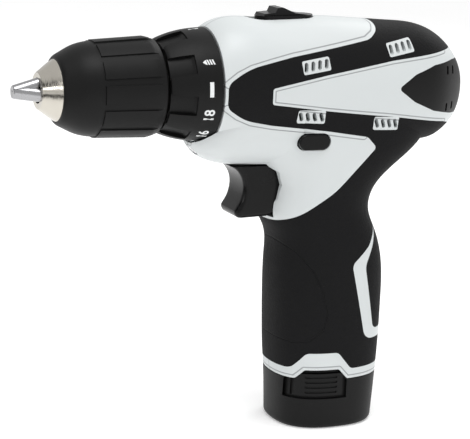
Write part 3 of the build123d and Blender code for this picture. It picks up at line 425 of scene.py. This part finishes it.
# %% Weld and smooth each node
slot_of = {part["node"]: part["material_slot"] for part in record["subparts"]}
CREASE = math.radians(28)      # a sharper edge than this stays sharp
POLISHED_NODES = ("trigger", "direction_lever", "speed_selector")


def welded_copy(name):
    """A copy of a CAD node, welded, smooth but for its creases, riding on its body."""
    work = bmesh.new()
    work.from_mesh(nodes[name].data)
    bmesh.ops.remove_doubles(work, verts=work.verts, dist=0.002 * MM)
    bmesh.ops.dissolve_degenerate(work, edges=work.edges, dist=0.001 * MM)
    for face in work.faces:
        face.smooth = True
    for edge in work.edges:
        edge.smooth = edge.is_manifold and edge.calc_face_angle(math.pi) < CREASE
    mesh = bpy.data.meshes.new(name + "_skin")
    work.to_mesh(mesh)
    work.free()
    piece = bpy.data.objects.new(name + "_skin", mesh)
    bpy.context.scene.collection.objects.link(piece)
    weight = piece.modifiers.new("even_shading", "WEIGHTED_NORMAL")
    weight.keep_sharp = True
    mesh.materials.append(polished if name in POLISHED_NODES else finishes[slot_of[name]])
    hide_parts(name)
    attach(piece, nodes[name]["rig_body"])
    return piece


skins = {}
for node_name in sorted(nodes):
    nodes[node_name].data.materials.clear()
    nodes[node_name].data.materials.append(finishes[slot_of[node_name]])
    skins[node_name] = welded_copy(node_name)
print("skins", len(skins), "triangles", sum(len(s.data.polygons) for s in skins.values()))

# %% [markdown]
# ## Printed dial marks
# Numbers round the torque ring tell the clutch setting. On the real ring they are pad
# printed, so they are flat ink that follows the band's curve. Text objects give the digits;
# each is sliced into thin strips, so that it can bend, and wrapped round the band. The
# ring's own surface, found with a ray towards the axis, gives the height of every point.

# %% White ink
ink = Finish("pad_print_white", Roughness=0.5)
speckle = ink.grain(0.5 * MM, 2.0)
ink.feed(
    Base_Color=ink.mix(speckle, (0.72, 0.74, 0.74), (0.84, 0.85, 0.85)),
    Roughness=0.42 + 0.16 * speckle,
)
ink.relief(speckle, 0.004 * MM)
print("ink", ink.material.name)

# %% Wrap a flat drawing round the dial band
INK_DEPTH = 0.06 * MM
STRIP = 0.45 * MM              # width of the slices that let a drawing bend
BAND_RADIUS = 23.4 * MM        # where lengths along the band are true
OUTSIDE = 40 * MM              # a ray starts this far from the axis
work = bmesh.new()
work.from_mesh(nodes["torque_ring"].data)
ring_surface = BVHTree.FromBMesh(work)
work.free()


def band_radius(x, angle):
    """The torque ring's radius at a place on its band."""
    outward = Vector((0, -math.sin(angle), math.cos(angle)))
    centre = Vector((x, 0, AXIS_Z))
    hit = ring_surface.ray_cast(centre + outward * OUTSIDE, -outward, OUTSIDE)[0]
    return (hit - centre).length


def wrapped(drawing, angle):
    """Bends a flat bmesh, x along the reading direction and y towards the nose."""
    span = max(abs(v.co.x) for v in drawing.verts)
    cut = -span + STRIP
    while cut < span:
        everything = drawing.verts[:] + drawing.edges[:] + drawing.faces[:]
        bmesh.ops.bisect_plane(drawing, geom=everything, plane_co=(cut, 0, 0), plane_no=(1, 0, 0))
        cut += STRIP
    raised = bmesh.ops.extrude_face_region(drawing, geom=drawing.faces[:])
    for item in raised["geom"]:
        if isinstance(item, bmesh.types.BMVert):
            item.co.z = INK_DEPTH
    for vertex in drawing.verts:
        x = DIAL_X - vertex.co.y
        turn = angle - vertex.co.x / BAND_RADIUS
        radius = band_radius(x, turn) + vertex.co.z - INK_DEPTH / 2
        vertex.co = (x, -radius * math.sin(turn), AXIS_Z + radius * math.cos(turn))
    bmesh.ops.recalc_face_normals(drawing, faces=drawing.faces)
    return drawing


print("band radius mm", round(band_radius(DIAL_X, 0) / MM, 2))


# %% Draw the digits, the bar and the drill mark
DIGIT_HEIGHT = 4.3 * MM


def digits(words):
    """A flat bmesh of the digits, centred on the origin."""
    curve = bpy.data.curves.new("digits", "FONT")
    curve.body = words
    curve.size = DIGIT_HEIGHT * 1.4     # a digit is about 0.7 of its font's size
    curve.offset = 0.13 * MM            # makes the strokes bolder
    curve.align_x, curve.align_y = "CENTER", "CENTER"
    curve.resolution_u = 4
    writing = bpy.data.objects.new("digits", curve)
    bpy.context.scene.collection.objects.link(writing)
    mesh = bpy.data.meshes.new_from_object(writing.evaluated_get(bpy.context.evaluated_depsgraph_get()))
    drawing = bmesh.new()
    drawing.from_mesh(mesh)
    bpy.data.objects.remove(writing)
    bmesh.ops.remove_doubles(drawing, verts=drawing.verts, dist=0.001 * MM)
    return drawing


def polygons(*outlines):
    """A flat bmesh of closed outlines given in millimetres."""
    drawing = bmesh.new()
    for outline in outlines:
        drawing.faces.new([drawing.verts.new((x * MM, y * MM, 0)) for x, y in outline])
    return drawing


BAR = [(-3.1, -0.85), (3.1, -0.85), (3.1, 0.85), (-3.1, 0.85)]
DRILL_POINT = [(-1.1, 1.0), (1.1, 1.5), (0.9, 1.9), (0, 2.9), (-0.9, 1.7)]
FLUTES = [[(-1.1, y), (1.1, y + 0.7), (1.1, y + 1.35), (-1.1, y + 0.65)] for y in (-0.1, -1.2, -2.3)]
STEP = 27.8                    # degrees between one printed number and the next
FIRST_EVEN = 115.0             # where the even numbers start, counting down from 18
marks = {4.0: "1", 59.0: "drill", 87.0: "bar"}
for place, number in enumerate(range(18, 1, -2)):
    marks[FIRST_EVEN + STEP * place] = str(number)

printed = bmesh.new()
for degrees, mark in marks.items():
    if mark == "drill":
        drawing = polygons(DRILL_POINT, *FLUTES)
    elif mark == "bar":
        drawing = polygons(BAR)
    else:
        drawing = digits(mark)
    part = bpy.data.meshes.new("mark")
    wrapped(drawing, math.radians(degrees)).to_mesh(part)
    drawing.free()
    printed.from_mesh(part)
dial_mesh = bpy.data.meshes.new("dial_marks")
printed.to_mesh(dial_mesh)
printed.free()
dial_marks = bpy.data.objects.new("dial_marks", dial_mesh)
bpy.context.scene.collection.objects.link(dial_marks)
dial_mesh.materials.append(ink.material)
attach(dial_marks, "torque_ring")
print("dial marks", len(marks), "faces", len(dial_mesh.polygons))

# %% [markdown]
# ## Drive sockets in the screw heads
# The housing is closed by equal screws, each with a six-pointed socket. The recess is not
# cut: a thin near-black star on each head stands for it as painted shadow. Geometry Nodes
# suit what repeats: one star is drawn, set on a point at every head, made real and given
# its dark finish, so a change to the star changes them all. The points are the middles of the
# welded heads, read from the CAD node.

# %% Find the screw heads
work = bmesh.new()
work.from_mesh(skins["housing_screws"].data)
face_y = max(vertex.co.y for vertex in work.verts)
rims = [vertex.co.copy() for vertex in work.verts if vertex.co.y > face_y - 0.05 * MM]
work.free()
heads = []
for rim in rims:
    near = [head for head in heads if (head[0] - rim).length < 8 * MM]
    if near:
        near[0].append(rim)
    else:
        heads.append([rim])
centres = [sum(ring, Vector()) / len(ring) for ring in heads]
print("screw heads", len(centres))


# %% A tree that sets one star on every point
def drive_tree():
    """Geometry Nodes: a flat star on each point, as wide as Star Width."""
    tree = bpy.data.node_groups.new("drive_sockets", "GeometryNodeTree")
    tree.interface.new_socket("Geometry", in_out="INPUT", socket_type="NodeSocketGeometry")
    tree.interface.new_socket("Star Width", in_out="INPUT", socket_type="NodeSocketFloat")
    tree.interface.new_socket("Finish", in_out="INPUT", socket_type="NodeSocketMaterial")
    tree.interface.new_socket("Geometry", in_out="OUTPUT", socket_type="NodeSocketGeometry")
    add, link = tree.nodes.new, tree.links.new
    given, result = add("NodeGroupInput"), add("NodeGroupOutput")
    star = add("GeometryNodeCurveStar")
    star.inputs["Points"].default_value = 6
    half, inner = add("ShaderNodeMath"), add("ShaderNodeMath")
    for share, of_width in ((half, 0.5), (inner, 0.36)):
        share.operation = "MULTIPLY"
        share.inputs[1].default_value = of_width
    fill = add("GeometryNodeFillCurve")
    thick = add("GeometryNodeExtrudeMesh")
    thick.inputs["Offset Scale"].default_value = 0.04 * MM
    place = add("GeometryNodeInstanceOnPoints")
    place.inputs["Rotation"].default_value = (math.radians(-90), 0, 0)
    real = add("GeometryNodeRealizeInstances")
    dress = add("GeometryNodeSetMaterial")
    link(given.outputs["Star Width"], half.inputs[0])
    link(given.outputs["Star Width"], inner.inputs[0])
    link(half.outputs[0], star.inputs["Outer Radius"])
    link(inner.outputs[0], star.inputs["Inner Radius"])
    link(star.outputs["Curve"], fill.inputs["Curve"])
    link(fill.outputs["Mesh"], thick.inputs["Mesh"])
    link(given.outputs["Geometry"], place.inputs["Points"])
    link(thick.outputs["Mesh"], place.inputs["Instance"])
    link(place.outputs["Instances"], real.inputs["Geometry"])
    link(real.outputs["Geometry"], dress.inputs["Geometry"])
    link(given.outputs["Finish"], dress.inputs["Material"])
    link(dress.outputs["Geometry"], result.inputs["Geometry"])
    return tree


# near-black painted shadow, laid on each head in place of the recessed socket
socket_painted_shadow = black_plastic("socket_shadow", 0.004, 0.6, 0.3 * MM, 0.01 * MM)
points_mesh = bpy.data.meshes.new("screw_points")
points_mesh.from_pydata([(c.x, face_y + 0.01 * MM, c.z) for c in centres], [], [])
holder = bpy.data.objects.new("screw_points", points_mesh)
bpy.context.scene.collection.objects.link(holder)
modifier = holder.modifiers.new("drives", "NODES")
modifier.node_group = drive_tree()
inputs = [item for item in modifier.node_group.interface.items_tree if item.in_out == "INPUT"]
identifier = {item.name: item.identifier for item in inputs}
modifier[identifier["Star Width"]] = 2.6 * MM
modifier[identifier["Finish"]] = socket_painted_shadow.material
made = bpy.data.meshes.new_from_object(holder.evaluated_get(bpy.context.evaluated_depsgraph_get()))
bpy.data.objects.remove(holder)
screw_drives = bpy.data.objects.new("screw_drives", made)
bpy.context.scene.collection.objects.link(screw_drives)
# the copy of the tree's result comes without its finish, so it is given again
made.materials.clear()
made.materials.append(socket_painted_shadow.material)
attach(screw_drives, "housing")
print("screw drives", len(made.polygons), "faces,", made.materials[0].name)

# %% [markdown]
# ## Camera
# A long lens from the drill's left front keeps its proportions flat and calm. The camera
# stands at a fixed azimuth and height angle, with a slight roll, and looks at a point near
# the middle of the object.

# %% Place the camera
AZIMUTH, ELEVATION, ROLL = (math.radians(a) for a in (-23.0, 12.5, 1.2))
DISTANCE = 860 * MM
LOOK_AT = Vector((-38.23, 5.54, 88.47)) * MM
SENSOR_WIDTH, FOCAL_LENGTH = 36.0, 154.96       # millimetres, as Blender takes them
back = Vector((
    math.sin(AZIMUTH) * math.cos(ELEVATION),
    -math.cos(AZIMUTH) * math.cos(ELEVATION),
    math.sin(ELEVATION),
))
side = Vector((math.cos(AZIMUTH), math.sin(AZIMUTH), 0))
up = back.cross(side)
rolled_side = side * math.cos(ROLL) + up * math.sin(ROLL)
rolled_up = up * math.cos(ROLL) - side * math.sin(ROLL)
camera_data = bpy.data.cameras.new("camera")
camera_data.sensor_width = SENSOR_WIDTH
camera_data.lens = FOCAL_LENGTH
camera_data.clip_start = 50 * MM
camera = bpy.data.objects.new("camera", camera_data)
bpy.context.scene.collection.objects.link(camera)
stand = LOOK_AT + back * DISTANCE
rows = [[rolled_side[axis], rolled_up[axis], back[axis], stand[axis]] for axis in range(3)]
camera.matrix_world = Matrix([*rows, [0, 0, 0, 1]])
bpy.context.scene.camera = camera
print("camera at", [round(c, 3) for c in stand])

# %% [markdown]
# ## Studio
# A pale sweep under the drill and large soft lamps make an even, bright studio. The lamps
# are wide for their distance, which keeps shadow edges soft and puts long, gentle
# highlights on the black plastics.

# %% Floor and lamps
FLOOR_REACH = 3.0              # metres each way
floor_mesh = bpy.data.meshes.new("floor")
quarters = [(-1, -1), (1, -1), (1, 1), (-1, 1)]
floor_corners = [(FLOOR_REACH * x, FLOOR_REACH * y, low.z) for x, y in quarters]
floor_mesh.from_pydata(floor_corners, [], [(0, 1, 2, 3)])
floor = bpy.data.objects.new("floor", floor_mesh)
bpy.context.scene.collection.objects.link(floor)
paper = Finish("pale_paper", Roughness=0.9)
fibres = paper.grain(60 * MM, 2.0)
paper.feed(Base_Color=paper.mix(fibres, (0.93, 0.93, 0.93), (0.95, 0.95, 0.95)))
# a faint glow stands for the light that a white sweep bounces back to itself
paper.shader.inputs["Emission Color"].default_value = (1, 1, 1, 1)
paper.shader.inputs["Emission Strength"].default_value = 0.27
floor_mesh.materials.append(paper.material)

world = bpy.data.worlds.new("studio")
world.use_nodes = True
background = world.node_tree.nodes["Background"]
background.inputs["Color"].default_value = (1, 1, 1, 1)
background.inputs["Strength"].default_value = 0.72
bpy.context.scene.world = world
bpy.context.scene.view_settings.view_transform = "Standard"


def soft_lamp(name, place, size, power):
    """A square area lamp, placed from the drill's middle in metres, with its power in watts."""
    data = bpy.data.lights.new(name, "AREA")
    data.size = size
    data.energy = power
    lamp = bpy.data.objects.new(name, data)
    lamp.location = MIDDLE + Vector(place)
    lamp.rotation_euler = (-Vector(place)).to_track_quat("-Z", "Y").to_euler()
    bpy.context.scene.collection.objects.link(lamp)


soft_lamp("top_light", (-0.05, -0.25, 0.9), 0.5, 4.2)
soft_lamp("front_light", (-0.75, -0.45, 0.35), 0.3, 2.2)
soft_lamp("rear_light", (0.8, 0.5, 0.6), 0.5, 3.0)


def dark_card(name, place, size):
    """A dark board beside the nose, so that the nickel has something dark to reflect."""
    mesh = bpy.data.meshes.new(name)
    across, tall = size[0] / 2, size[1] / 2
    x, y, z = place
    card_corners = [(x, y + across * side_y, z + tall * side_z) for side_y, side_z in quarters]
    mesh.from_pydata(card_corners, [], [(0, 1, 2, 3)])
    card = bpy.data.objects.new(name, mesh)
    bpy.context.scene.collection.objects.link(card)
    felt = Finish(name + "_felt", Roughness=1.0)
    nap = felt.grain(20 * MM)
    felt.feed(Base_Color=felt.mix(nap, (0.004,) * 3, (0.008,) * 3))
    mesh.materials.append(felt.material)
    card.visible_camera = False


dark_card("low_card", (low.x - 0.30, -0.20, AXIS_Z - 0.16), (0.8, 0.20))
dark_card("high_card", (low.x - 0.30, -0.20, AXIS_Z + 0.16), (0.8, 0.12))
print("lamps", [lamp.name for lamp in bpy.data.lights])

# %% [markdown]
